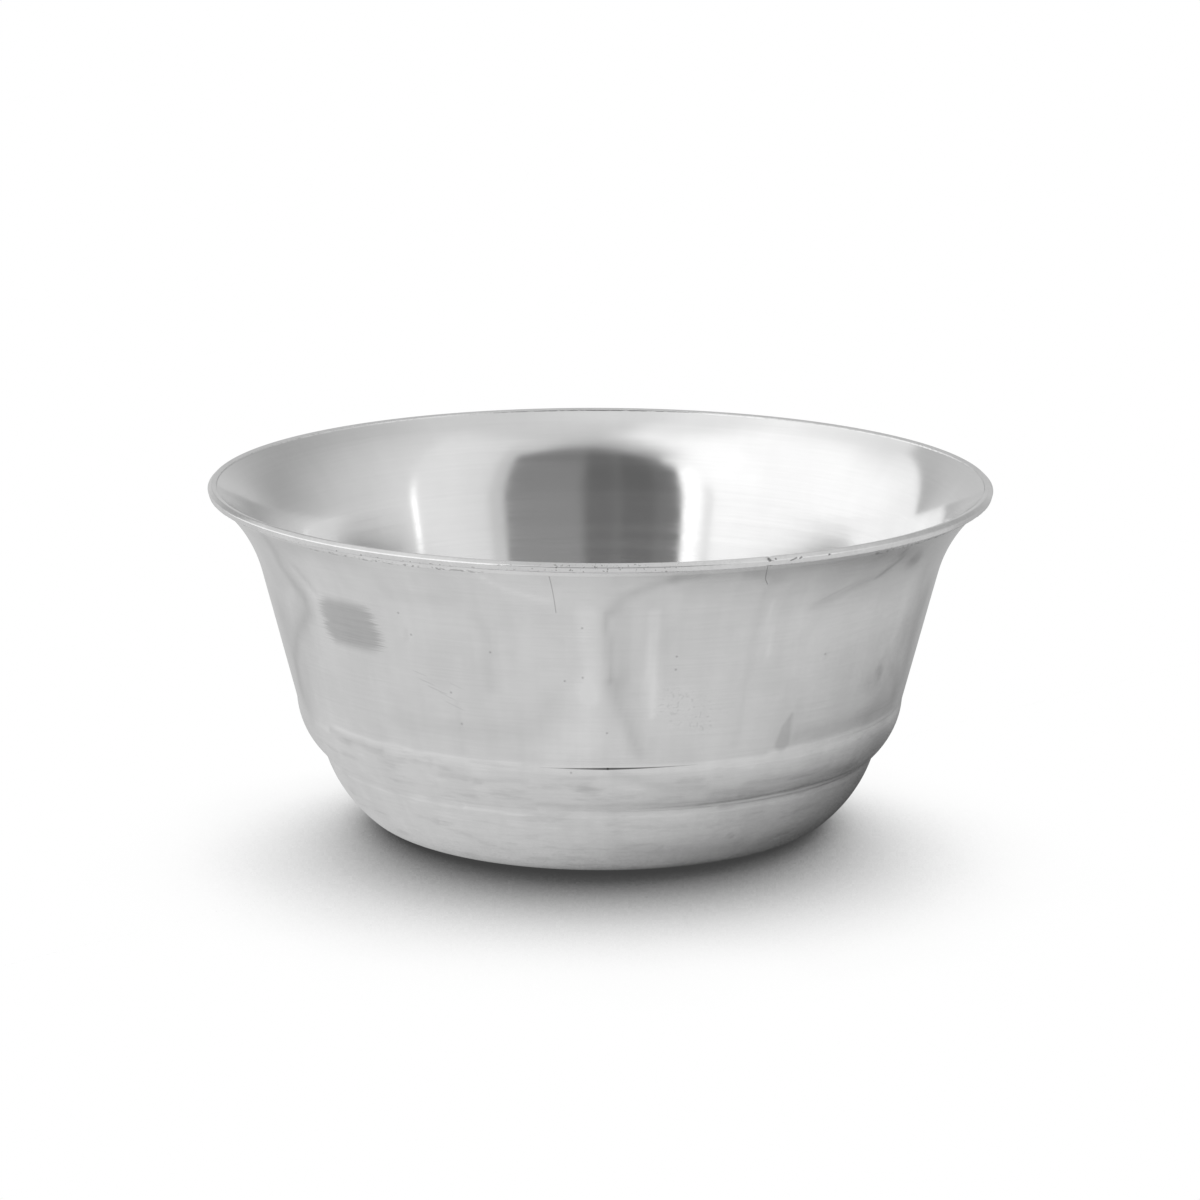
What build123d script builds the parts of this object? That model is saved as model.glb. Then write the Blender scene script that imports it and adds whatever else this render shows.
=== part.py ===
from build123d import *
import os
from math import cos, radians, sin

# Offering bowl of spun silver sheet with a half-round wire soldered to its lip and dressed into flats.
# Millimetres. The origin is the centre of the underside, +Z up along the bowl's axis.

# Overall sizes, over the rim wire
rim_diameter = 100.0
bowl_height = 44.05

# Sheet
sheet_thickness = 0.9

# Flared lip: its lean from the axis, its fall to the corner with the wall, and the bend at that corner
lip_lean = 46.0
lip_fall = 4.76
flare_radius = 19.0

# Wall, bulged band and belly, on the outer face of the sheet
wall_inset = 5.7
upper_crease_height = 16.5
band_inset = 3.45
band_radius = 9.6
lower_crease_height = 9.65
crease_radius = 1.5

# Base and the turn-up round it
belly_inset = 9.2
foot_radius = 6.0
foot_turn = 40.7

# Rim wire, which stands proud of both faces of the sheet, the flats that its round is dressed into, and its
# solder seam
wire_proud_outside = 0.4
wire_proud_inside = 0.1
wire_flats = 3
solder_thickness = 0.08

wire_width = wire_proud_outside + sheet_thickness + wire_proud_inside


def lip_frame():
    """Frame at the middle of the wire's flat back: X along the lip and out of it, Y towards the inner face."""
    outer_arris, upper_arris = (radians(90 - lip_lean + side * 90 / wire_flats) for side in (-1, 1))
    reach, rise = wire_width / 2 * cos(outer_arris), wire_width / 2 * sin(upper_arris)
    return Location((rim_diameter / 2 - reach, bowl_height - rise), 90 - lip_lean)


def bowl_outline():
    """Outer face of the sheet, from the middle of the base to the cut edge of the lip."""
    lip_edge = (lip_frame() * Pos(-solder_thickness, wire_proud_outside - wire_width / 2)).position
    lip_run = lip_fall / cos(radians(lip_lean))
    flare_corner = lip_edge - Vector(sin(radians(lip_lean)), cos(radians(lip_lean))) * lip_run
    upper_crease = Vector(flare_corner.X - wall_inset, upper_crease_height)
    lower_crease = Vector(upper_crease.X - band_inset, lower_crease_height)
    base = Line((0, 0), (lower_crease.X - belly_inset, 0))
    foot = JernArc(base @ 1, base % 1, foot_radius, foot_turn)
    belly = TangentArc(foot @ 1, lower_crease, tangent=foot % 1)
    band = RadiusArc(lower_crease, upper_crease, -band_radius)
    wall_and_lip = FilletPolyline(upper_crease, flare_corner, lip_edge, radius=flare_radius)
    outline = Wire([base, foot, belly, band] + wall_and_lip.edges())
    creases = [
        outline.vertices().sort_by_distance(crease).first
        for crease in (lower_crease, upper_crease)
    ]
    return outline.fillet_2d(crease_radius, creases)


def turned(section):
    """Solid of revolution of a section drawn with X as the radius and Y as the height."""
    return revolve(Plane.XZ * section, Axis.Z)


def bowl_body():
    """Sheet of even thickness inside the outline, its lip cut square."""
    return turned(make_face(bowl_outline().offset_2d(sheet_thickness, side=Side.LEFT)))


def rim_wire():
    """Half-round ring, its round dressed into flats and its back towards the cut edge."""
    corners = [
        Vector(wire_width / 2, 0).rotate(Axis.Z, 180 * flat / wire_flats - 90)
        for flat in range(wire_flats + 1)
    ]
    return turned(lip_frame() * make_face(Polyline(*corners, close=True)))


def rim_solder():
    """Seam between the cut edge and the wire's back, with a fillet onto either face of the sheet."""
    face_outer = wire_proud_outside - wire_width / 2
    face_inner = face_outer + sheet_thickness
    seam = Polyline(
        (0, -wire_width / 2),
        (0, wire_width / 2),
        (-solder_thickness - wire_proud_inside, face_inner),
        (-solder_thickness, face_inner),
        (-solder_thickness, face_outer),
        (-solder_thickness - wire_proud_outside, face_outer),
        close=True,
    )
    return turned(lip_frame() * make_face(seam))


os.makedirs("parts", exist_ok=True)
for piece in (bowl_body, rim_wire, rim_solder):
    export_step(piece(), f"parts/{piece.__name__}.step")
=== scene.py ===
from math import acos, ceil, cos, pi, radians, sin, sqrt, tan

import bpy
from mathutils import Matrix, Vector


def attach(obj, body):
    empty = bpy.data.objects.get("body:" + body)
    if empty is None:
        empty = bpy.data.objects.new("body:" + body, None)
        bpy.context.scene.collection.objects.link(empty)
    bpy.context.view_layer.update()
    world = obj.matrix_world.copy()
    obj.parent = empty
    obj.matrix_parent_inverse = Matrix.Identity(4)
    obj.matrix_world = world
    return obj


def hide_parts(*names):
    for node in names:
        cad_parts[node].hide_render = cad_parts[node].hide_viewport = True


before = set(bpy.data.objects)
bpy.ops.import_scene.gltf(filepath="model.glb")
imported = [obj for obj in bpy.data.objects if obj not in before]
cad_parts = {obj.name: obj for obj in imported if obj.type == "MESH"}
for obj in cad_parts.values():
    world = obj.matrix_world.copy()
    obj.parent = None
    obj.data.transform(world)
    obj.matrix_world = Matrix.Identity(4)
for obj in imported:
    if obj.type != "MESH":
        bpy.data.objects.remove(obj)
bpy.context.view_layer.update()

MM = 0.001

# Sizes of the bowl in millimetres, over the rim wire and on the outer face of the sheet
RIM_DIAMETER = 100.0
BOWL_HEIGHT = 44.05
SHEET_THICKNESS = 0.9
LIP_LEAN = 46.0
LIP_FALL = 4.76
FLARE_RADIUS = 19.0
WALL_INSET = 5.7
UPPER_CREASE_HEIGHT = 16.5
BAND_INSET = 3.45
BAND_RADIUS = 9.6
LOWER_CREASE_HEIGHT = 9.65
CREASE_RADIUS = 0.9
BELLY_INSET = 9.2
FOOT_RADIUS = 6.0
FOOT_TURN = 40.7
WIRE_PROUD_OUTSIDE = 0.4
WIRE_PROUD_INSIDE = 0.1
WIRE_FLATS = 3
SOLDER_THICKNESS = 0.08
WIRE_WIDTH = WIRE_PROUD_OUTSIDE + SHEET_THICKNESS + WIRE_PROUD_INSIDE

# Wear of the rim in millimetres: metal lost all round, roundness of its arrises and of its back's edges
WIRE_LOSS = 0.02
ARRIS_RADIUS = 0.18
BACK_RADIUS = 0.04

# Spacing of the sheet's outline points in millimetres, and how far from a crease they stay close together
BASE_STEP = 4.5
WALL_STEP = 0.8
LIP_STEP = 0.5
CREASE_STEP = 0.3
CREASE_SIDE = 1.2

# Points closer than this, in millimetres, are merged at seams and poles
MERGE_GAP = 0.002

# Tool line above the lower crease: its depth in millimetres, its deepest place and its two ends, each by turn
# in degrees from the front and run along the outer face in millimetres
TOOL_LINE_DEPTH = 0.27
TOOL_LINE_DEEPEST = (45.0, 41.35)
TOOL_LINE_ENDS = ((-10.0, 40.8), (80.0, 41.0))


# Sections, drawn as points (radius, height) in millimetres

def turned(vector, angle):
    """A flat vector turned to the left by an angle in radians."""
    return Vector((
        vector.x * cos(angle) - vector.y * sin(angle),
        vector.x * sin(angle) + vector.y * cos(angle),
    ))


def arc_points(centre, start, end, step=radians(3)):
    """Points after start on the short arc from start to end."""
    spoke = start - centre
    sweep = spoke.angle_signed(end - centre)
    count = max(1, ceil(abs(sweep) / step))
    return [centre + turned(spoke, -sweep * i / count) for i in range(1, count + 1)]


def line_points(start, end, step):
    """Points after start on the straight run from start to end."""
    count = max(1, ceil((end - start).length / step))
    return [start.lerp(end, i / count) for i in range(1, count + 1)]


def meeting(centre_a, radius_a, centre_b, radius_b):
    """The meeting point of two circles on the right-hand side of the line from a to b."""
    reach = centre_b - centre_a
    gap = reach.length
    along = (gap ** 2 + radius_a ** 2 - radius_b ** 2) / (2 * gap)
    aside = sqrt(radius_a ** 2 - along ** 2)
    reach.normalize()
    return centre_a + reach * along - turned(reach, pi / 2) * aside


LIP_OUT = Vector((sin(radians(LIP_LEAN)), cos(radians(LIP_LEAN))))
LIP_IN = turned(LIP_OUT, pi / 2)
WIRE_MIDDLE = Vector((
    RIM_DIAMETER / 2 - WIRE_WIDTH / 2 * cos(radians(90 - LIP_LEAN - 90 / WIRE_FLATS)),
    BOWL_HEIGHT - WIRE_WIDTH / 2 * sin(radians(90 - LIP_LEAN + 90 / WIRE_FLATS)),
))


def at_lip(out, inward):
    """A point placed from the middle of the wire's back, out along the lip and towards the inner face."""
    return WIRE_MIDDLE + LIP_OUT * out + LIP_IN * inward


def sheet_outline():
    """Outer face of the sheet, from the axis to the cut edge of the lip."""
    lip_edge = at_lip(-SOLDER_THICKNESS, WIRE_PROUD_OUTSIDE - WIRE_WIDTH / 2)
    flare_corner = lip_edge - LIP_OUT * (LIP_FALL / LIP_OUT.y)
    upper_crease = Vector((flare_corner.x - WALL_INSET, UPPER_CREASE_HEIGHT))
    lower_crease = Vector((upper_crease.x - BAND_INSET, LOWER_CREASE_HEIGHT))
    base_edge = Vector((lower_crease.x - BELLY_INSET, 0))

    foot_centre = base_edge + Vector((0, FOOT_RADIUS))
    foot_end = foot_centre + turned(Vector((0, -FOOT_RADIUS)), radians(FOOT_TURN))
    belly_run = lower_crease - foot_end
    foot_way = turned(Vector((1, 0)), radians(FOOT_TURN))
    half_turn = acos(foot_way.dot(belly_run.normalized()))
    belly_radius = belly_run.length / 2 / sin(half_turn)
    belly_centre = foot_end + turned(foot_way, pi / 2) * belly_radius

    band_run = upper_crease - lower_crease
    band_depth = sqrt(BAND_RADIUS ** 2 - (band_run.length / 2) ** 2)
    band_centre = (lower_crease + upper_crease) / 2 + turned(band_run.normalized(), pi / 2) * band_depth

    lower_bend = meeting(belly_centre, belly_radius + CREASE_RADIUS, band_centre, BAND_RADIUS + CREASE_RADIUS)
    lower_start = belly_centre + (lower_bend - belly_centre).normalized() * belly_radius
    lower_end = band_centre + (lower_bend - band_centre).normalized() * BAND_RADIUS

    wall_way = (flare_corner - upper_crease).normalized()
    wall_out = turned(wall_way, -pi / 2)
    level = upper_crease + wall_way * (band_centre - upper_crease).dot(wall_way)
    depth = (level - band_centre).length + CREASE_RADIUS
    upper_end = level + wall_way * sqrt((BAND_RADIUS + CREASE_RADIUS) ** 2 - depth ** 2)
    upper_bend = upper_end + wall_out * CREASE_RADIUS
    upper_start = band_centre + (upper_bend - band_centre).normalized() * BAND_RADIUS

    flare_reach = FLARE_RADIUS * tan(acos(wall_way.dot(LIP_OUT)) / 2)
    flare_start = flare_corner - wall_way * flare_reach
    flare_end = flare_corner + LIP_OUT * flare_reach
    flare_centre = flare_start + wall_out * FLARE_RADIUS

    points = [Vector((0, 0))]
    points += line_points(points[-1], base_edge, BASE_STEP)
    points += arc_points(foot_centre, base_edge, foot_end)
    belly_top = belly_centre + turned(lower_start - belly_centre, -CREASE_SIDE / belly_radius)
    points += arc_points(belly_centre, foot_end, belly_top, radians(2))
    points += arc_points(belly_centre, belly_top, lower_start, CREASE_STEP / belly_radius)
    points += arc_points(lower_bend, lower_start, lower_end, radians(6))
    band_foot = band_centre + turned(lower_end - band_centre, radians(9))
    points += arc_points(band_centre, lower_end, band_foot, radians(1.3))
    points += arc_points(band_centre, band_foot, upper_start)
    points += arc_points(upper_bend, upper_start, upper_end, radians(4))
    wall_foot = upper_end + wall_way * CREASE_SIDE
    points += line_points(upper_end, wall_foot, CREASE_STEP)
    points += line_points(wall_foot, flare_start, WALL_STEP)
    points += arc_points(flare_centre, flare_start, flare_end, radians(1.5))
    points += line_points(flare_end, lip_edge, LIP_STEP)
    return points


def wire_section():
    """Half-round dressed into flats with worn arrises, as a closed ring of points."""
    radius = WIRE_WIDTH / 2 - WIRE_LOSS
    corners = [
        at_lip(radius * sin(pi * i / WIRE_FLATS), -radius * cos(pi * i / WIRE_FLATS))
        for i in range(WIRE_FLATS + 1)
    ]
    points = []
    for i, corner in enumerate(corners):
        way_in = (corner - corners[i - 1]).normalized()
        way_out = (corners[(i + 1) % len(corners)] - corner).normalized()
        bend = ARRIS_RADIUS if 0 < i < WIRE_FLATS else BACK_RADIUS
        reach = bend * tan(acos(way_in.dot(way_out)) / 2)
        start, end = corner - way_in * reach, corner + way_out * reach
        points += line_points(points[-1], start, 0.14) if points else [start]
        points += arc_points(start + turned(way_in, pi / 2) * bend, start, end, radians(12))
    return points


def solder_section():
    """Seam round the cut edge of the lip, its sides a little hollow, as a closed ring of points."""
    half = WIRE_WIDTH / 2 - WIRE_LOSS
    face_outer = WIRE_PROUD_OUTSIDE - WIRE_WIDTH / 2
    face_inner = face_outer + SHEET_THICKNESS
    inner_toe = at_lip(-SOLDER_THICKNESS - WIRE_PROUD_INSIDE, face_inner)
    outer_toe = at_lip(-SOLDER_THICKNESS - WIRE_PROUD_OUTSIDE, face_outer)
    inner_hollow = at_lip(-0.45 * WIRE_PROUD_INSIDE, face_inner + 0.28 * WIRE_PROUD_INSIDE)
    outer_hollow = at_lip(-0.45 * WIRE_PROUD_OUTSIDE, face_outer - 0.28 * WIRE_PROUD_OUTSIDE)
    return [
        at_lip(0, -half),
        at_lip(0, half),
        *line_points(at_lip(0, half), inner_hollow, 0.09),
        *line_points(inner_hollow, inner_toe, 0.09),
        at_lip(-SOLDER_THICKNESS, face_inner),
        at_lip(-SOLDER_THICKNESS, face_outer),
        outer_toe,
        *line_points(outer_toe, outer_hollow, 0.07),
        *line_points(outer_hollow, at_lip(0, -half), 0.07)[:-1],
    ]


# Node trees

def put(tree, kind, feeds=None, **settings):
    """A new node with its settings and its inputs, each fed by a socket or a plain value."""
    made = tree.nodes.new(kind)
    for name, value in settings.items():
        setattr(made, name, value)
    for key, feed in (feeds or {}).items():
        if isinstance(feed, bpy.types.NodeSocket):
            tree.links.new(feed, made.inputs[key])
        else:
            made.inputs[key].default_value = feed
    return made


def sums(tree, operation, *feeds):
    """Result of a Math node."""
    return put(tree, "ShaderNodeMath", dict(enumerate(feeds)), operation=operation).outputs[0]


def vectors(tree, operation, *feeds):
    """Result of a Vector Math node."""
    made = put(tree, "ShaderNodeVectorMath", dict(enumerate(feeds)), operation=operation)
    return made.outputs["Value" if operation in ("DOT_PRODUCT", "DISTANCE") else "Vector"]


def parts(tree, vector):
    """The X, Y and Z of a vector."""
    return put(tree, "ShaderNodeSeparateXYZ", {0: vector}).outputs


def joined(tree, x, y, z):
    """A vector of three numbers."""
    return put(tree, "ShaderNodeCombineXYZ", {0: x, 1: y, 2: z}).outputs[0]


def turn_from_front(tree, x, y):
    """Turn about the upright axis in radians, from the front towards the right."""
    return sums(tree, "ARCTAN2", x, sums(tree, "MULTIPLY", y, -1.0))


def fade(tree, value, low, high, bottom=0.0, top=1.0):
    """A number that eases from one level to another as a value goes from low to high."""
    feeds = {0: value, 1: low, 2: high, 3: bottom, 4: top}
    return put(tree, "ShaderNodeMapRange", feeds, interpolation_type="SMOOTHSTEP").outputs[0]


def between(tree, value, low, high, soft):
    """1 where a value lies between two bounds, fading over a soft margin at each."""
    above = fade(tree, value, low - soft, low + soft)
    below = fade(tree, value, high - soft, high + soft, 1.0, 0.0)
    return sums(tree, "MULTIPLY", above, below)


def blended(tree, share, first, second):
    """A number between two others."""
    return put(tree, "ShaderNodeMix", {0: share, 2: first, 3: second}).outputs[0]


def noise(tree, vector, scale=1.0, detail=2.0, roughness=0.5):
    """Even noise from 0 to 1."""
    feeds = {"Vector": vector, "Scale": scale, "Detail": detail, "Roughness": roughness}
    return put(tree, "ShaderNodeTexNoise", feeds).outputs[0]


def named_tree(name, kind, inputs, output):
    """A new node tree with named inputs and one output, and what its Group Input gives."""
    tree = bpy.data.node_groups.new(name, kind)
    for label, socket in inputs.items():
        tree.interface.new_socket(name=label, in_out="INPUT", socket_type="NodeSocket" + socket)
    tree.interface.new_socket(name=output[0], in_out="OUTPUT", socket_type="NodeSocket" + output[1])
    return tree, put(tree, "NodeGroupInput").outputs


def merged(tree, geometry):
    """A grid closed where its edges meet."""
    gap = MERGE_GAP * MM
    return put(tree, "GeometryNodeMergeByDistance", {"Geometry": geometry, "Distance": gap}).outputs[0]


def finished(tree, geometry, finish):
    """Smooth shading, plain geometry and the finish, as a tree's output."""
    bend = put(tree, "GeometryNodeInputMeshEdgeAngle").outputs[0]
    sharp = put(tree, "GeometryNodeStoreNamedAttribute", {
        "Geometry": geometry,
        "Name": "sharp_edge",
        "Value": sums(tree, "GREATER_THAN", bend, radians(60)),
    }, data_type="BOOLEAN", domain="EDGE").outputs[0]
    smooth = put(tree, "GeometryNodeSetShadeSmooth", {"Geometry": sharp}).outputs[0]
    real = put(tree, "GeometryNodeRealizeInstances", {"Geometry": smooth}).outputs[0]
    done = put(tree, "GeometryNodeSetMaterial", {"Geometry": real, "Material": finish}).outputs[0]
    put(tree, "NodeGroupOutput", {0: done})


# Radius in millimetres at which the outer face is laid flat to place marks on it
FACE_RADIUS = 42.0


def stroke_group(kind):
    """Group: 1 on a stroke between two places on the outer face in mm, fading at its sides."""
    tree, given = named_tree("stroke", kind, {
        "Place": "Vector",
        "Start": "Vector",
        "End": "Vector",
        "Reach": "Float",
        "End Reach": "Float",
        "Soft": "Float",
    }, ("Stroke", "Float"))
    offset = vectors(tree, "SUBTRACT", given["Place"], given["Start"])
    run = vectors(tree, "SUBTRACT", given["End"], given["Start"])
    share = put(tree, "ShaderNodeMath", {
        0: vectors(tree, "DOT_PRODUCT", offset, run), 1: vectors(tree, "DOT_PRODUCT", run, run),
    }, operation="DIVIDE", use_clamp=True).outputs[0]
    nearest = vectors(tree, "MULTIPLY", run, joined(tree, share, share, share))
    gap = vectors(tree, "DISTANCE", offset, nearest)
    reach = blended(tree, share, given["Reach"], given["End Reach"])
    inside = sums(tree, "SUBTRACT", reach, given["Soft"])
    outside = sums(tree, "ADD", reach, given["Soft"])
    put(tree, "NodeGroupOutput", {0: fade(tree, gap, inside, outside, 1.0, 0.0)})
    return tree


def stroke_along(tree, group, place, way, reach, tip, soft):
    """Strokes joined end to end, through turns in degrees from the front and runs along the face in mm."""
    ends = [(radians(turn) * FACE_RADIUS, run, 0.0) for turn, run in way]
    kind = "GeometryNodeGroup" if tree.type == "GEOMETRY" else "ShaderNodeGroup"
    last = len(ends) - 1
    whole = None
    for i in range(max(last, 1)):
        first, second = reach, reach
        if tip is not None:
            first, second = (reach + (tip - reach) * j / max(last, 1) for j in (i, i + 1))
        piece = put(tree, kind, {
            "Place": place, "Start": ends[i], "End": ends[min(i + 1, last)],
            "Reach": first, "End Reach": second, "Soft": soft,
        }, node_tree=group).outputs[0]
        whole = piece if whole is None else sums(tree, "MAXIMUM", whole, piece)
    return whole


def drifted(tree, place, face):
    """Places on the outer face, moved about by up to 0.7 mm so that marks on them aren't straight."""
    drift = put(tree, "ShaderNodeTexNoise", {"Vector": place, "Scale": 0.16, "Detail": 1.0}).outputs["Color"]
    drift = vectors(tree, "SUBTRACT", drift, (0.5, 0.5, 0.5))
    return vectors(tree, "ADD", face, vectors(tree, "MULTIPLY", drift, (1.4, 1.4, 0.0)))


# Dents in the sheet, bumps where the depth is below 0: depth, reach, softness, and the places on their way
DENTS = (
    (0.10, 1.0, 1.5, (-63.0, 67.5), (-61.5, 64.5)),
    (0.05, 0.6, 1.2, (-57.5, 69.0), (-54.0, 66.5)),
    (0.07, 0.5, 1.3, (2.5, 68.0), (3.0, 61.5)),
    (0.05, 0.4, 1.2, (3.4, 59.0), (7.0, 50.5)),
    (-0.04, 0.3, 1.2, (-2.0, 70.0), (-1.5, 56.0)),
    (-0.04, 0.3, 1.2, (8.0, 69.5), (8.6, 58.0)),
    (0.05, 0.8, 1.5, (66.0, 64.0), (60.0, 55.5)),
    (0.05, 0.5, 1.2, (8.0, 45.8), (20.3, 44.6)),
    (-0.05, 0.1, 0.5, (33.0, 48.2), (72.0, 48.35)),
)

# Painted reflections, highlights and shade on the sheet, with a few stain spots, light where the share is
# below 0: how much darker, reach, softness, and the places
PAINTED_SHADE_AND_REFLECTIONS = (
    (0.18, 0.7, 1.2, (-59.0, 76.0), (-60.6, 73.0), (-62.3, 70.2), (-61.0, 68.3), (-57.6, 66.2), (-57.2, 64.2),
     (-60.5, 62.0), (-66.0, 59.2), (-70.5, 55.2), (-72.5, 51.0)),
    (-0.10, 0.5, 0.9, (-57.5, 70.0), (-54.0, 66.8)),
    (0.10, 0.3, 0.7, (-56.2, 71.0), (-53.2, 67.6)),
    (-0.08, 0.8, 1.2, (-62.5, 65.8), (-65.0, 63.7)),
    (0.14, 2.6, 3.2, (-72.0, 61.0), (-71.0, 51.0)),
    (0.08, 1.8, 1.8, (-64.0, 74.5), (-40.0, 75.5)),
    (0.05, 1.2, 1.6, (-34.0, 69.8), (-20.0, 70.2)),
    (0.12, 0.2, 0.3, (-33.2, 65.0), (-33.0, 63.6)),
    (0.07, 0.8, 1.0, (-19.8, 68.0), (-18.0, 64.5), (-18.6, 58.5)),
    (0.05, 1.0, 1.5, (-40.0, 51.8), (-13.0, 52.2), (-8.5, 56.0)),
    (0.06, 0.2, 0.4, (-25.2, 56.0), (-25.0, 49.0)),
    (-0.08, 0.3, 0.5, (-18.5, 76.5), (-16.5, 74.2), (-12.5, 72.6), (-8.0, 71.4)),
    (-0.11, 1.2, 1.0, (-2.2, 69.0), (-1.4, 58.0)),
    (-0.12, 2.0, 1.8, (-2.0, 57.5), (-3.0, 50.5)),
    (-0.06, 1.5, 1.5, (-6.0, 52.5), (-8.5, 49.8)),
    (0.15, 0.35, 0.3, (1.2, 69.3), (1.4, 64.5), (1.8, 60.0)),
    (0.07, 1.0, 0.9, (3.0, 69.5), (3.6, 60.0)),
    (0.12, 0.6, 0.9, (2.4, 59.5), (4.0, 55.0), (7.2, 49.8)),
    (-0.12, 0.5, 0.6, (8.6, 69.4), (8.5, 62.0), (9.2, 55.0)),
    (0.06, 0.5, 0.8, (10.8, 66.5), (11.2, 58.0)),
    (0.12, 0.7, 1.0, (1.6, 69.8), (3.6, 72.0), (7.4, 73.9), (10.8, 75.0)),
    (0.13, 0.8, 0.8, (10.8, 75.2), (14.5, 75.6)),
    (0.14, 1.0, 1.4, (22.8, 75.5), (27.0, 73.6)),
    (-0.10, 0.3, 0.6, (28.0, 69.5), (28.8, 62.0)),
    (0.06, 0.4, 0.8, (26.2, 73.0), (25.4, 61.0), (24.6, 50.0)),
    (0.12, 0.6, 0.9, (36.5, 68.4), (44.0, 70.4), (50.5, 71.8)),
    (0.30, 0.25, 0.4, (50.8, 76.0), (52.0, 73.2), (49.0, 71.3)),
    (0.34, 0.8, 1.1, (57.0, 72.2), (58.3, 71.6)),
    (0.14, 1.6, 2.0, (46.0, 75.5), (56.0, 73.5)),
    (0.20, 2.2, 2.6, (72.0, 64.0), (70.5, 59.0), (72.0, 53.0)),
    (0.22, 1.0, 2.4, (65.5, 61.0), (64.0, 56.0)),
    (0.20, 1.2, 2.0, (52.0, 74.6), (60.0, 71.2)),
    (0.12, 0.8, 1.5, (55.0, 50.6), (70.0, 49.9)),
    (0.15, 1.5, 2.0, (56.0, 55.5), (64.0, 53.0)),
    (0.26, 0.6, 0.8, (58.2, 56.8), (58.9, 56.0)),
    (0.10, 0.5, 0.9, (59.5, 58.5), (64.0, 55.5)),
    (0.20, 1.0, 1.4, (66.5, 55.0), (69.0, 52.0)),
    (0.15, 1.4, 1.8, (60.0, 51.0), (70.0, 50.5)),
    (0.14, 0.8, 1.4, (58.0, 50.0), (46.0, 49.9), (38.0, 50.2)),
    (0.09, 0.3, 0.4, (41.0, 61.5), (41.4, 60.5)),
    (-0.12, 0.3, 0.4, (33.0, 48.5), (70.0, 48.65)),
    (0.18, 0.3, 0.5, (-60.0, 47.6), (-44.0, 47.2)),
    (-0.09, 0.2, 0.3, (-58.0, 48.35), (-14.0, 48.05)),
    (0.12, 0.5, 1.0, (2.8, 47.0), (8.0, 45.8), (13.7, 44.8), (20.3, 44.6)),
    (0.16, 0.5, 0.9, (22.0, 43.4), (42.0, 44.0), (58.0, 43.0)),
    (0.12, 0.3, 0.5, (-12.0, 41.9), (10.0, 42.0), (28.0, 42.3)),
    (0.14, 0.4, 0.6, (28.0, 42.3), (45.0, 42.7), (60.0, 43.2)),
    (-0.12, 0.3, 0.4, (-12.0, 40.6), (24.0, 40.7)),
    (-0.12, 0.4, 0.4, (24.0, 40.6), (70.0, 40.8)),
    (-0.10, 0.12, 0.25, (-28.0, 39.6), (-15.0, 39.6)),
    (0.14, 2.0, 2.4, (66.0, 46.0), (72.0, 43.5)),
    (0.26, 0.2, 0.3, (-23.4, 45.1), (-22.0, 45.0)),
    (0.10, 0.25, 0.5, (-31.0, 45.2), (-14.0, 45.5)),
    (0.14, 0.3, 0.5, (-3.2, 45.0), (-0.5, 44.7)),
    (0.12, 1.5, 2.0, (4.0, 33.3), (32.0, 33.3)),
    (0.07, 1.2, 2.0, (4.0, 60.0), (7.0, 52.0)),
    (0.12, 1.5, 2.0, (40.0, 32.0), (58.0, 32.0)),
    (0.18, 0.25, 0.35, (-36.6, 36.9), (-36.2, 36.8)),
    (0.24, 0.25, 0.35, (28.8, 35.4), (29.7, 35.2)),
    (0.22, 0.2, 0.25, (13.6, 34.1), (13.9, 34.1)),
)


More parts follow.
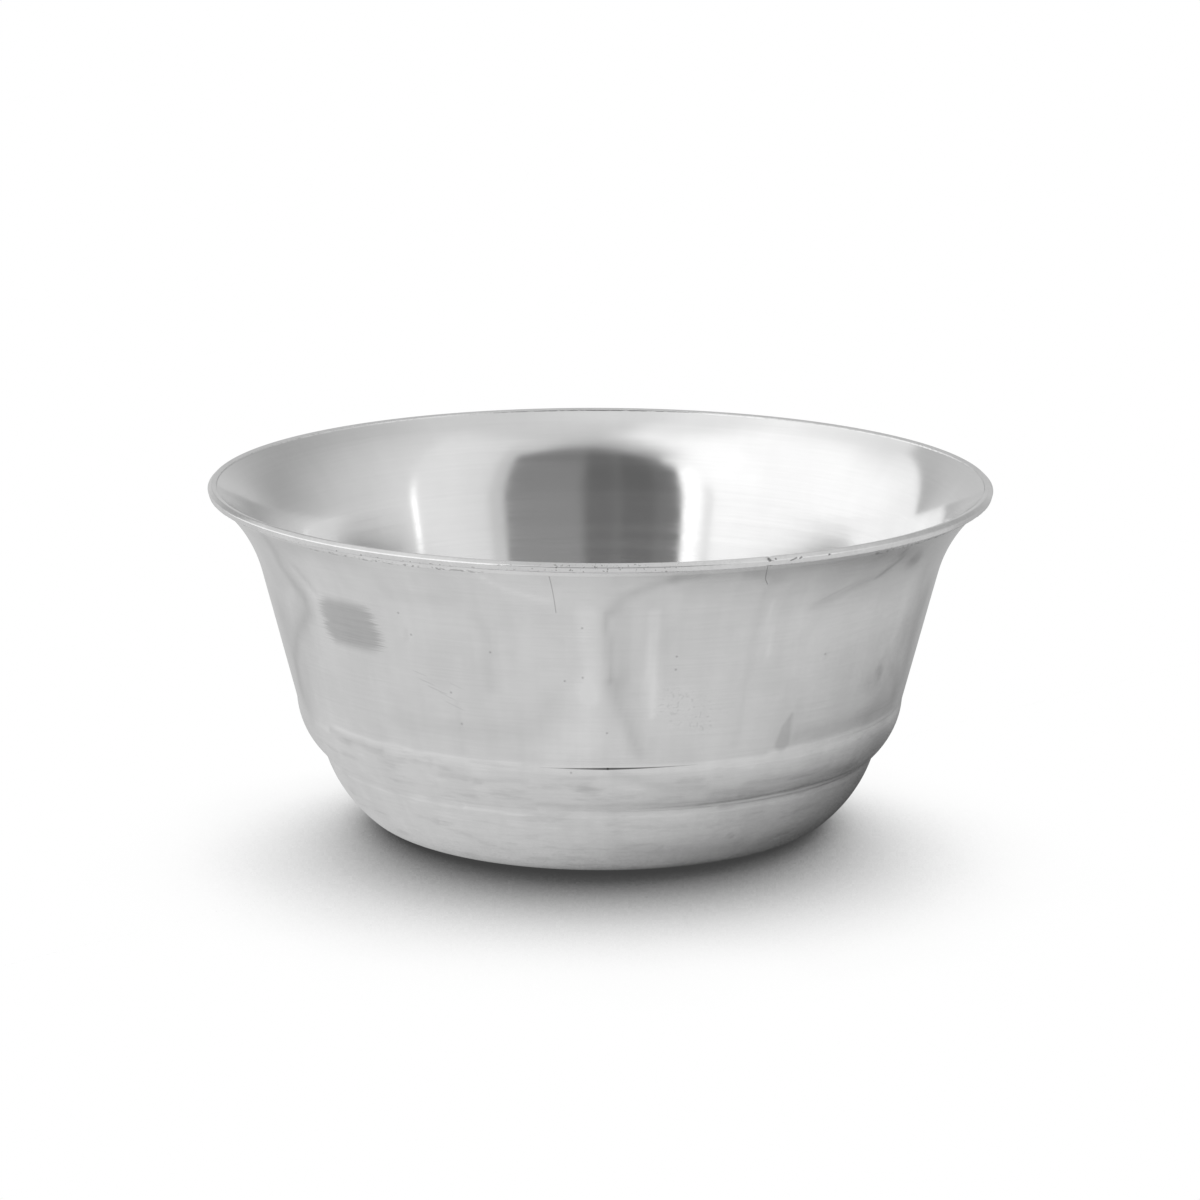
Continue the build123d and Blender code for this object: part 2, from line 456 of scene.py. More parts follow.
def turning_tree():
    """Turns an outline about the upright axis into a closed sheet of even thickness, a little out of true."""
    tree, given = named_tree("turned_sheet", "GeometryNodeTree", {
        "Outline": "Geometry",
        "Sheet Thickness": "Float",
        "Points Around": "Int",
        "Waver": "Float",
        "Waver Length": "Float",
        "Dent Depth": "Float",
        "Finish": "Material",
    }, ("Sheet", "Geometry"))
    curve = put(tree, "GeometryNodeMeshToCurve", {"Mesh": given["Outline"]}).outputs[0]
    size = put(tree, "GeometryNodeAttributeDomainSize", {"Geometry": curve}, component="CURVE")
    count = size.outputs["Point Count"]
    rows = sums(tree, "MULTIPLY", count, 2.0)
    grid = put(tree, "GeometryNodeMeshGrid", {
        "Size X": 1.0,
        "Size Y": 1.0,
        "Vertices X": sums(tree, "ADD", given["Points Around"], 1.0),
        "Vertices Y": rows,
    }).outputs["Mesh"]
    place = parts(tree, put(tree, "GeometryNodeInputPosition").outputs[0])
    angle = sums(tree, "MULTIPLY", sums(tree, "ADD", place["X"], 0.5), 2 * pi)
    last_row = sums(tree, "SUBTRACT", rows, 1.0)
    row = sums(tree, "ROUND", sums(tree, "MULTIPLY", sums(tree, "ADD", place["Y"], 0.5), last_row))
    inner = sums(tree, "GREATER_THAN", row, sums(tree, "SUBTRACT", count, 0.5))
    step = sums(tree, "MINIMUM", row, sums(tree, "SUBTRACT", last_row, row))

    def on_outline(field, kind):
        """A field's value at this row's point of the outline."""
        return put(tree, "GeometryNodeSampleIndex", {
            "Geometry": curve, "Value": field, "Index": step,
        }, data_type=kind, domain="POINT").outputs[0]

    point = parts(tree, on_outline(put(tree, "GeometryNodeInputPosition").outputs[0], "FLOAT_VECTOR"))
    way = parts(tree, on_outline(put(tree, "GeometryNodeInputTangent").outputs[0], "FLOAT_VECTOR"))
    length = on_outline(put(tree, "GeometryNodeSplineParameter").outputs["Length"], "FLOAT")
    depth = sums(tree, "MULTIPLY", inner, given["Sheet Thickness"])
    across, up = sums(tree, "COSINE", angle), sums(tree, "SINE", angle)
    spot = joined(
        tree, sums(tree, "MULTIPLY", point["X"], across), sums(tree, "MULTIPLY", point["X"], up), point["Z"]
    )
    sway = noise(tree, vectors(tree, "DIVIDE", spot, given["Waver Length"]), detail=1.0)
    sway = sums(tree, "MULTIPLY", sums(tree, "SUBTRACT", sway, 0.5), given["Waver"])
    held = sums(
        tree, "MULTIPLY", fade(tree, point["Z"], 1 * MM, 7 * MM),
        fade(tree, point["Z"], 36 * MM, 42 * MM, 1.0, 0.0),
    )
    radius = sums(tree, "SUBTRACT", point["X"], sums(tree, "MULTIPLY", depth, way["Z"]))
    radius = sums(tree, "MULTIPLY_ADD", sway, held, radius)
    turn = turn_from_front(tree, across, up)
    face = joined(
        tree, sums(tree, "MULTIPLY", turn, FACE_RADIUS), sums(tree, "MULTIPLY", length, 1 / MM), 0.0
    )
    stroke = stroke_group("GeometryNodeTree")
    for deep, reach, soft, *places in DENTS:
        dent = stroke_along(tree, stroke, face, places, reach, None, soft)
        dent = sums(tree, "MULTIPLY", dent, sums(tree, "MULTIPLY", given["Dent Depth"], -deep))
        radius = sums(tree, "ADD", radius, dent)
    tool_line = sums(tree, "MAXIMUM", *(
        stroke_along(tree, stroke, face, (TOOL_LINE_DEEPEST, end), 0.3, -0.6, 0.6) for end in TOOL_LINE_ENDS
    ))
    tool_depth = sums(tree, "MULTIPLY", given["Dent Depth"], -TOOL_LINE_DEPTH)
    radius = sums(tree, "ADD", radius, sums(tree, "MULTIPLY", tool_line, tool_depth))
    height = sums(tree, "MULTIPLY_ADD", depth, way["X"], point["Z"])
    side = sums(tree, "MULTIPLY_ADD", inner, -2.0, 1.0)
    marked = put(tree, "GeometryNodeStoreNamedAttribute", {
        "Geometry": grid, "Name": "along", "Value": sums(tree, "MULTIPLY", length, side),
    }, data_type="FLOAT", domain="POINT").outputs[0]
    # Painted reflections, highlights and shade on the outer face, stored in the attribute shade; the inner
    # face keeps 1
    wavy = drifted(tree, face, face)
    shade = sums(tree, "SUBTRACT", 1.0, inner)
    for share, reach, soft, *places in PAINTED_SHADE_AND_REFLECTIONS:
        mask = stroke_along(tree, stroke, wavy, places, reach, None, soft)
        shade = sums(tree, "MULTIPLY", shade, sums(tree, "MULTIPLY_ADD", mask, -share, 1.0))
    marked = put(tree, "GeometryNodeStoreNamedAttribute", {
        "Geometry": marked, "Name": "shade", "Value": sums(tree, "ADD", shade, inner),
    }, data_type="FLOAT", domain="POINT").outputs[0]
    sheet = put(tree, "GeometryNodeSetPosition", {
        "Geometry": marked,
        "Position": joined(
            tree, sums(tree, "MULTIPLY", radius, across), sums(tree, "MULTIPLY", radius, up), height
        ),
    }).outputs[0]
    finished(tree, merged(tree, sheet), given["Finish"])
    return tree


def ring_tree():
    """Turns a closed section about the upright axis into a ring with nicks in it."""
    tree, given = named_tree("turned_ring", "GeometryNodeTree", {
        "Section": "Geometry",
        "Points Around": "Int",
        "Nick Depth": "Float",
        "Nick Length": "Float",
        "Nick Share": "Float",
        "Notch Turn": "Float",
        "Notch Depth": "Float",
        "Notch Width": "Float",
        "Finish": "Material",
    }, ("Ring", "Geometry"))
    section = given["Section"]
    size = put(tree, "GeometryNodeAttributeDomainSize", {"Geometry": section}, component="MESH")
    count = size.outputs["Point Count"]
    grid = put(tree, "GeometryNodeMeshGrid", {
        "Size X": 1.0,
        "Size Y": 1.0,
        "Vertices X": sums(tree, "ADD", given["Points Around"], 1.0),
        "Vertices Y": sums(tree, "ADD", count, 1.0),
    }).outputs["Mesh"]
    place = parts(tree, put(tree, "GeometryNodeInputPosition").outputs[0])
    angle = sums(tree, "MULTIPLY", sums(tree, "ADD", place["X"], 0.5), 2 * pi)
    row = sums(tree, "ROUND", sums(tree, "MULTIPLY", sums(tree, "ADD", place["Y"], 0.5), count))
    point = parts(tree, put(tree, "GeometryNodeSampleIndex", {
        "Geometry": section,
        "Value": put(tree, "GeometryNodeInputPosition").outputs[0],
        "Index": sums(tree, "FLOORED_MODULO", row, count),
    }, data_type="FLOAT_VECTOR", domain="POINT").outputs[0])
    ring = put(tree, "GeometryNodeSetPosition", {
        "Geometry": grid,
        "Position": joined(
            tree, sums(tree, "MULTIPLY", point["X"], sums(tree, "COSINE", angle)),
            sums(tree, "MULTIPLY", point["X"], sums(tree, "SINE", angle)), point["Z"],
        ),
    }).outputs[0]
    closed = merged(tree, ring)

    spot = put(tree, "GeometryNodeInputPosition").outputs[0]
    grain = noise(tree, vectors(tree, "DIVIDE", spot, given["Nick Length"]), detail=3.0, roughness=0.6)
    low = sums(tree, "SUBTRACT", 1.0, given["Nick Share"])
    nicks = fade(tree, grain, low, sums(tree, "ADD", low, 0.14))
    here = parts(tree, spot)
    turn = turn_from_front(tree, here["X"], here["Y"])
    away = sums(tree, "DIVIDE", sums(tree, "SUBTRACT", turn, given["Notch Turn"]), given["Notch Width"])
    notch = sums(tree, "EXPONENT", sums(tree, "MULTIPLY", sums(tree, "MULTIPLY", away, away), -1.0))
    cut = sums(tree, "MULTIPLY", nicks, given["Nick Depth"])
    cut = sums(tree, "MULTIPLY_ADD", notch, given["Notch Depth"], cut)
    inward = put(tree, "ShaderNodeVectorMath", {
        0: put(tree, "GeometryNodeInputNormal").outputs[0], "Scale": sums(tree, "MULTIPLY", cut, -1.0),
    }, operation="SCALE").outputs[0]
    worn = put(tree, "GeometryNodeSetPosition", {"Geometry": closed, "Offset": inward}).outputs[0]
    finished(tree, worn, given["Finish"])
    return tree


def made_by(tree, name, points, closed, **inputs):
    """A plain mesh piece that a tree makes from a section."""
    mesh = bpy.data.meshes.new(name)
    count = len(points)
    edges = [(i, (i + 1) % count) for i in range(count if closed else count - 1)]
    mesh.from_pydata([(p.x * MM, 0, p.y * MM) for p in points], edges, [])
    piece = bpy.data.objects.new(name, mesh)
    bpy.context.scene.collection.objects.link(piece)
    maker = piece.modifiers.new(tree.name, "NODES")
    maker.node_group = tree
    sockets = {item.name: item.identifier for item in tree.interface.items_tree if item.in_out == "INPUT"}
    for key, value in inputs.items():
        maker[sockets[key.replace("_", " ")]] = value
    seen = piece.evaluated_get(bpy.context.evaluated_depsgraph_get())
    plain = bpy.data.meshes.new_from_object(seen)
    piece.modifiers.clear()
    piece.data = plain
    plain.name = name
    bpy.data.meshes.remove(mesh)
    return piece


# Finishes

def new_finish(name):
    """An empty material and its tree."""
    finish = bpy.data.materials.new(name)
    finish.use_nodes = True
    finish.node_tree.nodes.clear()
    return finish, finish.node_tree


def silver_shader(tree, level, roughness, height, lines):
    """Metal of a neutral colour, with its gloss drawn out across the spinning lines and its relief in mm."""
    shader = put(tree, "ShaderNodeBsdfPrincipled", {
        "Base Color": put(tree, "ShaderNodeCombineColor", {0: level, 1: level, 2: level}).outputs[0],
        "Metallic": 1.0,
        "Roughness": roughness,
        "Normal": put(tree, "ShaderNodeBump", {"Strength": 1.0, "Distance": MM, "Height": height}).outputs[0],
        "Anisotropic": lines,
        "Anisotropic Rotation": 0.25,
        "Tangent": put(tree, "ShaderNodeTangent", direction_type="RADIAL", axis="Z").outputs[0],
    })
    put(tree, "ShaderNodeOutputMaterial", {"Surface": shader.outputs[0]})


# How much light the sheet gives back, outside and inside
OUTER_LEVEL = 0.895
INNER_LEVEL = 0.94

# Scratches on the sheet: how much darker, reach, softness, and the places on their way
SCRATCHES = (
    (0.35, 0.05, 0.05, (-7.2, 75.9), (-6.8, 69.3)),
    (0.40, 0.05, 0.05, (24.1, 76.9), (24.9, 74.0), (25.7, 72.9)),
    (0.14, 0.05, 0.1, (37.5, 69.0), (43.5, 70.8)),
    (0.16, 0.03, 0.05, (-33.0, 59.4), (-30.5, 58.9)),
    (0.20, 0.03, 0.05, (-32.0, 58.4), (-29.2, 57.8)),
    (0.22, 0.03, 0.05, (-30.5, 57.6), (-27.0, 56.8)),
    (0.18, 0.03, 0.05, (-28.5, 57.0), (-25.5, 56.1)),
    (0.18, 0.03, 0.05, (-27.5, 55.8), (-24.0, 54.8)),
    (0.14, 0.03, 0.05, (-26.0, 58.4), (-24.0, 57.8)),
)

# Places of small dark specks on the sheet
SPECKS = (
    (-5.1, 47.2), (-18.1, 63.2), (-2.8, 67.1), (-2.8, 60.3), (1.3, 52.7), (12.6, 63.0), (41.0, 61.0),
    (12.6, 61.2), (-26.1, 57.1), (-34.1, 67.2), (-32.3, 64.4), (-24.8, 52.9), (-5.8, 59.8),
)


def sheet_silver():
    """Spun sheet: bright inside, greyer outside, with spinning lines, rubs, stains and scratches, and painted
    reflections, highlights and shade outside.
    """
    finish, tree = new_finish("spun_satin_silver")
    stroke = stroke_group("ShaderNodeTree")
    along = put(tree, "ShaderNodeAttribute", attribute_name="along").outputs["Fac"]
    along = sums(tree, "MULTIPLY", along, 1 / MM)
    inside = sums(tree, "LESS_THAN", along, 0.0)
    spot = parts(tree, put(tree, "ShaderNodeTexCoord").outputs["Object"])
    turn = turn_from_front(tree, spot["X"], spot["Y"])
    wrap = joined(
        tree, sums(tree, "MULTIPLY", sums(tree, "SINE", turn), FACE_RADIUS),
        sums(tree, "MULTIPLY", sums(tree, "COSINE", turn), -FACE_RADIUS), along,
    )
    face = joined(tree, sums(tree, "MULTIPLY", turn, FACE_RADIUS), along, 0.0)

    def grain(around, up, detail, roughness):
        """Noise that follows the sheet, at so many grains to a millimetre around and up it."""
        return noise(tree, vectors(tree, "MULTIPLY", wrap, (around, around, up)), 1.0, detail, roughness)

    spin = grain(0.02, 3.2, 3.0, 0.6)
    bands = grain(0.03, 0.9, 2.0, 0.5)
    clouds = grain(0.11, 0.11, 4.0, 0.55)
    rubs = grain(0.45, 0.06, 3.0, 0.6)
    smears = grain(0.13, 0.55, 3.0, 0.6)
    hairs = grain(0.12, 7.0, 2.0, 0.7)
    grit = grain(2.4, 2.4, 1.0, 0.5)

    wavy = drifted(tree, wrap, face)
    fray = sums(tree, "MULTIPLY", sums(tree, "SUBTRACT", hairs, 0.5), 5.0)
    frayed = vectors(tree, "ADD", face, joined(tree, fray, 0.0, 0.0))

    def mark(place, way, reach, soft, tip=None):
        """1 on a mark along a way over the outer face."""
        return stroke_along(tree, stroke, place, way, reach, tip, soft)

    def darker(level, mask, share):
        """The level with a share of it taken away by a mask, or added where the share is below 0."""
        lost = sums(tree, "MULTIPLY", mask, share)
        return sums(tree, "MULTIPLY", level, sums(tree, "SUBTRACT", 1.0, lost))

    def where(first, second):
        """Both masks at once, or a level times a mask."""
        return sums(tree, "MULTIPLY", first, second)

    level = blended(tree, inside, OUTER_LEVEL, INNER_LEVEL)
    # Clouds and rubs on the walls, fainter inside; on the base only the rings of the spinning
    wall = fade(tree, sums(tree, "ABSOLUTE", along), 22.0, 30.0)
    rubbed = where(wall, blended(tree, inside, 1.0, 0.4))
    level = darker(level, where(rubbed, fade(tree, clouds, 0.3, 0.7, 0.04, -0.03)), 1.0)
    level = darker(level, where(rubbed, fade(tree, rubs, 0.3, 0.7, 0.018, -0.012)), 1.0)
    level = darker(level, where(rubbed, fade(tree, hairs, 0.4, 0.65, -0.01, 0.016)), 1.0)
    level = darker(level, fade(tree, spin, 0.35, 0.65), blended(tree, wall, 0.04, 0.0125))

    # Smears along the band and the belly, painted highlight lines on the band below the upper crease and on
    # the belly below the lower crease, and grit darker on the lower belly
    low = between(tree, along, 24.0, 48.0, 1.0)
    level = darker(level, where(low, fade(tree, smears, 0.5, 0.75)), 0.13)
    level = darker(level, where(low, fade(tree, smears, 0.45, 0.25)), -0.05)
    level = darker(level, between(tree, along, 47.0, 48.2, 0.5), -0.06)
    level = darker(level, between(tree, along, 39.5, 39.8, 0.25), -0.06)
    level = darker(level, where(between(tree, along, 24.0, 33.0, 2.5), fade(tree, grit, 0.5, 0.7)), 0.08)

    for share, reach, soft, *way in SCRATCHES:
        level = darker(level, mark(face, way, reach, soft), share)
    # Painted reflections, highlights and shade, read from the attribute shade
    level = where(level, put(tree, "ShaderNodeAttribute", attribute_name="shade").outputs["Fac"])
    for place in SPECKS:
        level = darker(level, mark(face, (place, place), 0.13, 0.12), 0.3)

    # Brushed smudge on the left, its right-hand edge drawn out in hairs
    smudge = sums(
        tree, "MAXIMUM", mark(frayed, ((-50.0, 65.2), (-42.4, 65.2)), 2.0, 0.9),
        mark(frayed, ((-49.8, 63.1), (-41.8, 63.1)), 2.0, 0.9),
    )
    level = darker(level, smudge, 0.27)
    level = darker(level, where(smudge, fade(tree, hairs, 0.6, 0.4)), 0.08)
    # Flame-shaped dark patch on the right, and a patch of fine pits at the front
    flame = sums(
        tree, "MAXIMUM", mark(face, ((35.0, 49.5), (35.3, 51.6)), 1.15, 0.4, tip=0.8),
        mark(face, ((35.3, 51.6), (36.0, 53.3)), 0.78, 0.4, tip=0.2),
    )
    level = darker(level, flame, 0.17)
    sanded = mark(wavy, ((12.5, 56.5), (18.5, 54.0)), 2.2, 1.5)
    level = darker(level, where(sanded, fade(tree, grit, 0.55, 0.68)), 0.09)
    # Border below the rim, with a painted highlight all round, stronger a little to the right of the front,
    # and painted shade further to the right; dirt and pits along its lower side
    border = between(tree, along, 76.05, 78.0, 0.12)
    level = darker(level, border, -0.1)
    level = darker(level, where(border, between(tree, turn, 0.35, 0.85, 0.2)), -0.1)
    level = darker(level, where(border, fade(tree, turn, 0.85, 1.1)), 0.3)
    pits = where(between(tree, along, 75.8, 76.3, 0.15), fade(tree, grit, 0.5, 0.62))
    sides = sums(
        tree, "MAXIMUM", between(tree, turn, -0.84, -0.3, 0.06), between(tree, turn, 0.72, 1.1, 0.06)
    )
    level = darker(level, where(pits, sides), 0.4)
    # Dirt in the upper crease
    for end in ((-10.8, 47.75), (18.0, 47.9)):
        level = darker(level, mark(face, ((1.5, 47.78), end), 0.13, 0.07, tip=-0.03), 0.85)
    level = sums(tree, "MINIMUM", level, 1.0)

    roughness = fade(tree, clouds, 0.3, 0.7, 0.165, 0.14)
    roughness = sums(tree, "ADD", roughness, fade(tree, bands, 0.3, 0.7, -0.015, 0.02))
    roughness = sums(tree, "MULTIPLY_ADD", where(inside, fade(tree, hairs, 0.5, 0.7)), 0.03, roughness)
    roughness = where(roughness, blended(tree, inside, 1.0, 0.84))
    height = sums(tree, "MULTIPLY_ADD", spin, 0.0003, sums(tree, "MULTIPLY", where(sanded, grit), -0.006))
    silver_shader(tree, level, roughness, height, 0.7)
    return finish


# Dark chips in the rim: reach, and the places by turn in degrees and height in mm
RIM_CHIPS = (
    (0.16, (23.9, 43.72), (24.0, 43.6)),
    (0.1, (24.9, 43.7), (24.9, 43.7)),
    (0.07, (27.2, 43.35), (28.1, 43.6)),
    (0.08, (28.6, 43.5), (28.9, 43.6)),
    (0.1, (33.4, 43.5), (33.5, 43.5)),
)


def rim_silver():
    """Wire burnished by hands and cloths, pitted at the front and along its lower edge."""
    finish, tree = new_finish("burnished_rim_silver")
    spot = put(tree, "ShaderNodeTexCoord").outputs["Object"]
    clouds = noise(tree, spot, 320.0, 3.0)
    grain = noise(tree, spot, 2600.0, 3.0, 0.6)
    here = parts(tree, spot)
    turn = sums(tree, "DEGREES", turn_from_front(tree, here["X"], here["Y"]))
    lower_edge = fade(tree, here["Z"], 43.0 * MM, 43.25 * MM, 1.0, 0.0)
    edge_dirt = sums(tree, "MULTIPLY", lower_edge, between(tree, turn, -47.0, -18.0, 6.0))
    front = between(tree, turn, -13.0, 11.0, 3.0)
    worn = sums(tree, "MAXIMUM", edge_dirt, sums(tree, "MULTIPLY", front, 0.7))
    specks = sums(tree, "MULTIPLY", fade(tree, grain, 0.58, 0.66), worn)
    stroke = stroke_group("ShaderNodeTree")
    face = joined(
        tree, sums(tree, "MULTIPLY", sums(tree, "RADIANS", turn), FACE_RADIUS),
        sums(tree, "MULTIPLY", here["Z"], 1 / MM), 0.0,
    )
    for reach, *way in RIM_CHIPS:
        specks = sums(tree, "MAXIMUM", specks, stroke_along(tree, stroke, face, way, reach, None, 0.07))
    radius = sums(tree, "SQRT", sums(
        tree, "MULTIPLY_ADD", here["X"], here["X"], sums(tree, "MULTIPLY", here["Y"], here["Y"])
    ))
    # Painted shade on the wire's top land, to the left of the front
    land_shade = sums(
        tree, "MULTIPLY", fade(tree, here["Z"], 43.6 * MM, 43.7 * MM),
        fade(tree, radius, 49.4 * MM, 49.5 * MM),
    )
    land_shade = sums(tree, "MULTIPLY", land_shade, between(tree, turn, -78.0, -2.0, 10.0))
    level = sums(
        tree, "MULTIPLY", fade(tree, clouds, 0.3, 0.7, 0.92, 0.97), fade(tree, grain, 0.3, 0.7, 0.95, 1.02)
    )
    level = sums(tree, "MULTIPLY", level, sums(tree, "MULTIPLY_ADD", land_shade, -0.27, 1.0))
    level = sums(tree, "MULTIPLY", level, sums(tree, "MULTIPLY_ADD", specks, -0.65, 1.0))
    roughness = sums(tree, "MULTIPLY_ADD", front, 0.16, fade(tree, grain, 0.3, 0.7, 0.16, 0.24))
    silver_shader(tree, level, roughness, sums(tree, "MULTIPLY", grain, 0.005), 0.3)
    return finish


def seam_silver():
    """Solder: polished with the sheet on the inner side, dull and pitted on the outer."""
    finish, tree = new_finish("dull_solder")
    spot = put(tree, "ShaderNodeTexCoord").outputs["Object"]
    clouds = noise(tree, spot, 260.0, 3.0)
    grain = noise(tree, spot, 2200.0, 3.0, 0.6)
    outer = fade(tree, parts(tree, spot)["Z"], 43.1 * MM, 43.4 * MM, 1.0, 0.0)
    dirt = sums(tree, "MULTIPLY", fade(tree, grain, 0.56, 0.7), outer)
    dull = sums(
        tree, "MULTIPLY", fade(tree, clouds, 0.3, 0.7, 0.7, 0.84), sums(tree, "MULTIPLY_ADD", dirt, -0.5, 1.0)
    )
    level = blended(tree, outer, fade(tree, clouds, 0.3, 0.7, 0.86, 0.92), dull)
    roughness = sums(tree, "MULTIPLY_ADD", outer, 0.1, fade(tree, grain, 0.3, 0.7, 0.17, 0.27))
    height = sums(tree, "MULTIPLY", sums(tree, "MULTIPLY", grain, outer), -0.012)
    silver_shader(tree, level, roughness, height, 0.0)
    return finish


# Pieces

bowl_body = made_by(
    turning_tree(), "bowl", sheet_outline(), False,
    Sheet_Thickness=SHEET_THICKNESS * MM, Points_Around=400, Waver=0.06 * MM, Waver_Length=13 * MM,
    Dent_Depth=MM, Finish=sheet_silver(),
)
rings = ring_tree()
rim_wire = made_by(
    rings, "rim", wire_section(), True,
    Points_Around=2160, Nick_Depth=0.02 * MM, Nick_Length=0.9 * MM, Nick_Share=0.4,
    Notch_Turn=radians(24), Notch_Depth=0.1 * MM, Notch_Width=radians(0.35), Finish=rim_silver(),
)
rim_solder = made_by(
    rings, "solder_seam", solder_section(), True,
    Points_Around=1800, Nick_Depth=0.03 * MM, Nick_Length=0.6 * MM, Nick_Share=0.5,
    Notch_Turn=0.0, Notch_Depth=0.0, Notch_Width=1.0, Finish=seam_silver(),
)

for piece, node, slot in (
    (bowl_body, "bowl_body", "silver_sheet"),
    (rim_wire, "rim_wire", "silver_wire"),
    (rim_solder, "rim_solder", "silver_solder"),
):
    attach(piece, "root")
    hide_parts(node)


# Stage

def floor():
    """Pale sweep under the bowl that glows: white with a soft occlusion shade to the camera, and with painted
    shade on the right and behind to the metal.
    """
    mesh = bpy.data.meshes.new("floor")
    half = 6.0
    corners = [(-half, -half, 0), (half, -half, 0), (half, half, 0), (-half, half, 0)]
    mesh.from_pydata(corners, [], [(0, 1, 2, 3)])
    sweep = bpy.data.objects.new("floor", mesh)
    bpy.context.scene.collection.objects.link(sweep)
    finish, tree = new_finish("pale_floor")

    def glow(samples, lean, *curve):
        """Light of the floor, from how open it lies to one side of the sky."""
        sky = put(tree, "ShaderNodeAmbientOcclusion", {
            "Distance": 0.25, "Normal": joined(tree, *lean),
        }, samples=samples).outputs["AO"]
        return put(tree, "ShaderNodeEmission", {"Strength": fade(tree, sky, *curve)}).outputs[0]

    path = put(tree, "ShaderNodeLightPath").outputs
    mirrored = sums(tree, "MAXIMUM", path["Is Glossy Ray"], path["Is Transmission Ray"])
    matt = put(tree, "ShaderNodeBsdfDiffuse", {"Color": (0.92, 0.92, 0.92, 1)}).outputs[0]
    spot = parts(tree, put(tree, "ShaderNodeTexCoord").outputs["Object"])
    # Light that the metal sees on the floor, at its least and most open, painted darker to the right and
    # behind
    lowest = fade(tree, spot["X"], -30 * MM, 15 * MM, 0.4, 0.04)
    lowest = sums(tree, "ADD", lowest, fade(tree, spot["X"], 25 * MM, 45 * MM, 0.0, 0.05))
    right = fade(tree, spot["X"], 0.0, 50 * MM)
    left = sums(tree, "SUBTRACT", 1.0, right)
    back_left = sums(tree, "MULTIPLY", fade(tree, spot["Y"], 5 * MM, 30 * MM), left)
    back_right = sums(tree, "MULTIPLY", fade(tree, spot["Y"], 25 * MM, 60 * MM), right)
    highest = sums(tree, "MULTIPLY_ADD", back_right, -0.17, 0.64)
    highest = sums(tree, "MULTIPLY_ADD", back_left, -0.07, highest)
    to_metal = glow(6, (-0.61, -0.61, 0.5), 0.4, 0.95, lowest, highest)
    to_camera = glow(16, (0.0, 0.6, 0.8), 0.16, 0.73, 0.05, 1.0)
    look = put(tree, "ShaderNodeMixShader", {0: mirrored, 1: matt, 2: to_metal}).outputs[0]
    look = put(tree, "ShaderNodeMixShader", {0: path["Is Camera Ray"], 1: look, 2: to_camera}).outputs[0]
    put(tree, "ShaderNodeOutputMaterial", {"Surface": look})
    mesh.materials.append(finish)


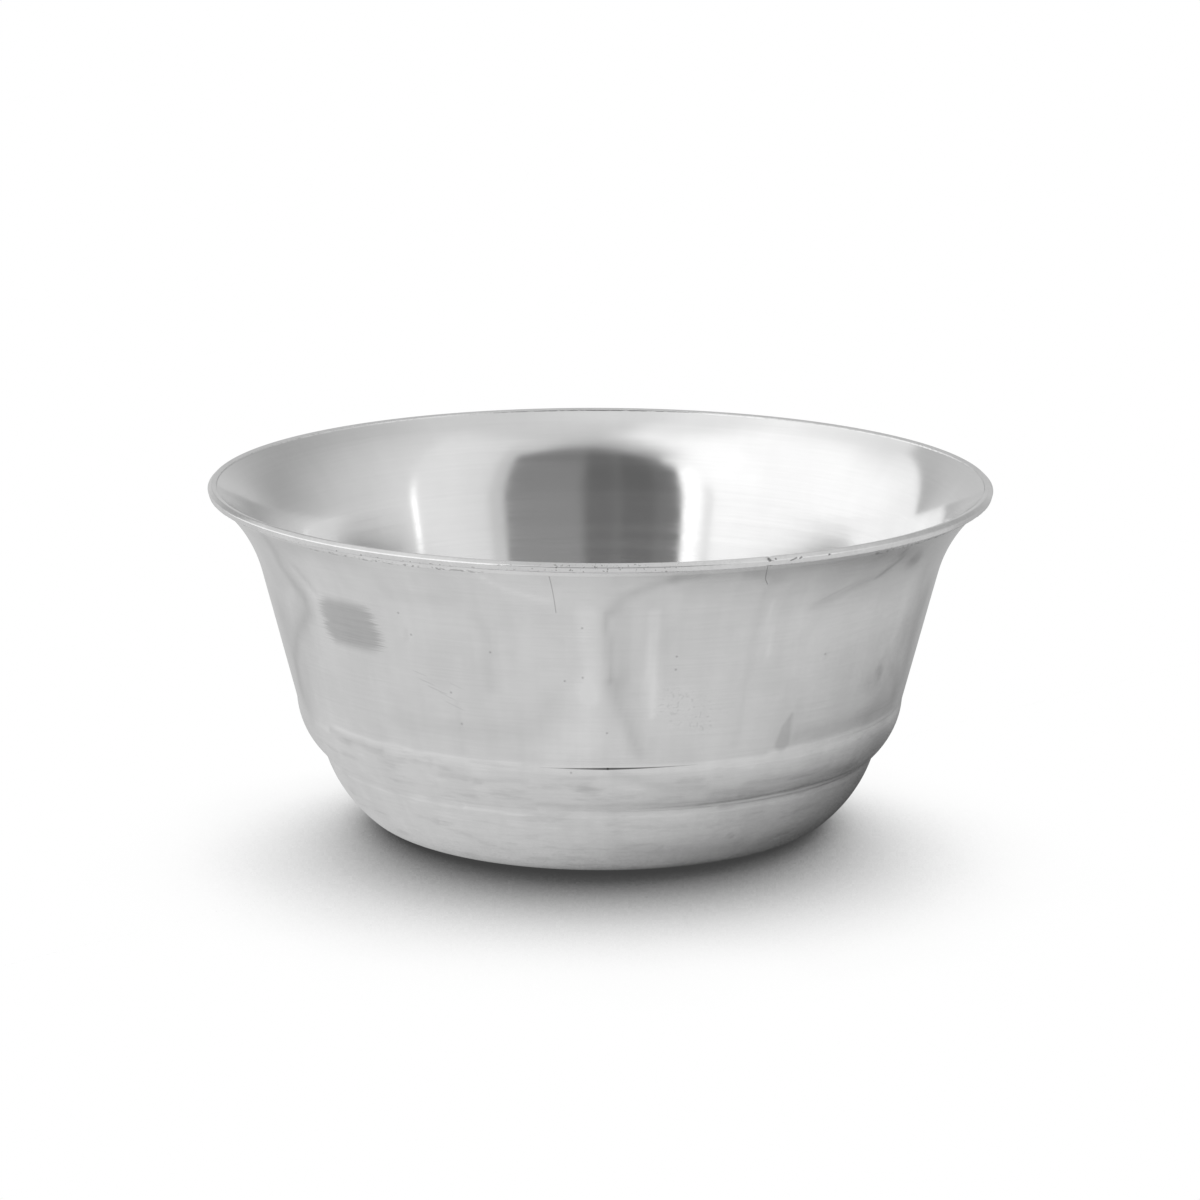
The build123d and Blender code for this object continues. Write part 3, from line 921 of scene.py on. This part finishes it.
def room():
    """Soft studio: softbox to the left, dark drape behind the camera and pale walls; white to the camera."""
    world = bpy.data.worlds.new("studio")
    world.use_nodes = True
    bpy.context.scene.world = world
    tree = world.node_tree
    tree.nodes.clear()
    way = parts(tree, put(tree, "ShaderNodeTexCoord").outputs["Generated"])
    turn = sums(tree, "DEGREES", turn_from_front(tree, way["X"], way["Y"]))
    rise = sums(tree, "DEGREES", sums(tree, "ARCSINE", way["Z"]))

    def both(first, second):
        """Both masks at once."""
        return sums(tree, "MULTIPLY", first, second)

    def patch(left, right, side_soft, bottom, top, end_soft):
        """1 on a patch of the room between two turns and two heights in degrees."""
        return both(between(tree, turn, left, right, side_soft), between(tree, rise, bottom, top, end_soft))

    def added(level, mask, more):
        """The level with more light where a mask is."""
        return sums(tree, "MULTIPLY_ADD", mask, more, level)

    # Pale walls, lighter to the right of the camera, with a bright upright edge
    facing = sums(tree, "COSINE", sums(tree, "RADIANS", sums(tree, "SUBTRACT", turn, 64.0)))
    fill = sums(tree, "POWER", sums(tree, "MAXIMUM", facing, 0.0), 2.0)
    lit = sums(tree, "MULTIPLY_ADD", fill, 0.43, 0.335)
    slant = sums(tree, "MULTIPLY_ADD", rise, -0.14, turn)
    right = both(fade(tree, slant, 69.6, 71.2), fade(tree, turn, 84.0, 116.0, 1.0, 0.0))
    lit = added(lit, right, -0.05)
    edge = both(between(tree, slant, 67.4, 69.4, 0.8), fade(tree, rise, 12.0, 36.0, 1.0, 0.0))
    lit = added(lit, edge, 0.7)
    behind = fade(tree, sums(tree, "ABSOLUTE", turn), 135.0, 165.0)
    lit = added(lit, both(behind, fade(tree, rise, 34.0, 48.0, 0.17, 0.22)), 1.0)
    lit = added(lit, patch(-158.0, -134.0, 10.0, -90.0, 90.0, 1.0), 0.12)
    lit = added(lit, fade(tree, rise, 4.0, 18.0, 1.0, 0.0), 0.05)
    lit = blended(tree, fade(tree, rise, 56.0, 68.0), lit, 0.62)
    lit = added(lit, fade(tree, rise, 74.0, 84.0), 0.1)
    glow = both(fade(tree, turn, -40.0, 4.0, 1.0, 0.0), between(tree, rise, 54.0, 70.0, 4.0))
    lit = added(lit, glow, 0.52)
    # Softbox to the left, dimmer at its far side and top, its near edge soft higher up
    panel = added(1.03, patch(-36.0, -20.0, 1.5, -90.0, 40.0, 4.0), 0.2)
    panel = added(panel, patch(-41.5, -38.0, 1.2, -90.0, 26.0, 8.0), -0.2)
    panel = added(panel, patch(-62.0, -40.0, 6.0, 28.0, 60.0, 8.0), 0.06)
    panel = added(panel, fade(tree, turn, -132.0, -106.0, 1.0, 0.0), -0.1)
    panel = added(panel, fade(tree, rise, 58.0, 70.0), -0.2)
    far_top = both(fade(tree, turn, -112.0, -82.0, 1.0, 0.0), fade(tree, rise, 42.0, 56.0))
    panel = added(panel, far_top, -0.1)
    far_corner = both(fade(tree, turn, -130.0, -100.0, 1.0, 0.0), fade(tree, rise, 22.0, 42.0))
    panel = added(panel, far_corner, -0.16)
    low_edge = fade(tree, turn, -26.0, -24.0, 1.0, 0.0)
    high_edge = fade(tree, turn, -41.0, -18.0, 1.0, 0.0)
    reach = blended(tree, fade(tree, rise, 42.0, 50.0), low_edge, high_edge)
    lit = blended(tree, both(patch(-136.5, 0.0, 1.5, -2.0, 77.0, 3.0), reach), lit, panel)
    # Dark drape behind the camera, its top bowed, beside a grey edge
    lit = blended(tree, patch(30.0, 41.0, 1.5, -90.0, 54.0, 6.0), lit, 0.57)
    cloth = added(0.15, between(tree, turn, 6.0, 90.0, 2.5), 0.08)
    cloth = added(cloth, between(tree, turn, -5.0, 5.5, 2.0), -0.02)
    cloth = added(cloth, between(tree, turn, -20.0, -8.0, 2.0), -0.03)
    cloth = added(cloth, patch(6.0, 90.0, 3.0, 44.0, 90.0, 3.0), -0.05)
    cloth = added(cloth, fade(tree, rise, 8.0, 24.0, 1.0, 0.0), 0.04)
    aside = sums(tree, "SUBTRACT", turn, 8.0)
    bowed = sums(tree, "MULTIPLY_ADD", sums(tree, "MULTIPLY", aside, aside), 0.0107, rise)
    drape = both(between(tree, turn, -30.0, 35.2, 1.0), fade(tree, bowed, 52.6, 58.6, 1.0, 0.0))
    lit = blended(tree, drape, lit, cloth)
    seen = put(tree, "ShaderNodeLightPath").outputs["Is Camera Ray"]
    soft = put(tree, "ShaderNodeBackground", {"Color": (1, 1, 1, 1), "Strength": lit}).outputs[0]
    white = put(tree, "ShaderNodeBackground", {"Color": (1, 1, 1, 1), "Strength": 1.0}).outputs[0]
    look = put(tree, "ShaderNodeMixShader", {0: seen, 1: soft, 2: white}).outputs[0]
    put(tree, "ShaderNodeOutputWorld", {"Surface": look})


def key_lamp():
    """Soft lamp to the left that lights the floor."""
    data = bpy.data.lights.new("key_lamp", "AREA")
    data.energy = 4.6
    data.size = 0.5
    lamp = bpy.data.objects.new("key_lamp", data)
    bpy.context.scene.collection.objects.link(lamp)
    turn, rise, reach = radians(-75), radians(42), 0.9
    way = Vector((sin(turn) * cos(rise), -cos(turn) * cos(rise), sin(rise)))
    lamp.matrix_world = Matrix.Translation(way * reach) @ way.to_track_quat("Z", "Y").to_matrix().to_4x4()
    lamp.visible_glossy = False


def camera():
    """Long lens, a little above the rim."""
    data = bpy.data.cameras.new("camera")
    data.lens = 164.67
    data.sensor_width = 36.0
    data.clip_start = 0.01
    data.clip_end = 50.0
    seen_from = bpy.data.objects.new("camera", data)
    bpy.context.scene.collection.objects.link(seen_from)
    stand, down, roll = (0, -0.6858, 0.1835), 12.747, 0.22
    aim = Matrix.Rotation(radians(90 - down), 4, "X") @ Matrix.Rotation(radians(roll), 4, "Z")
    seen_from.matrix_world = Matrix.Translation(stand) @ aim
    bpy.context.scene.camera = seen_from


floor()
room()
key_lamp()
camera()
bpy.context.scene.view_settings.view_transform = "Standard"
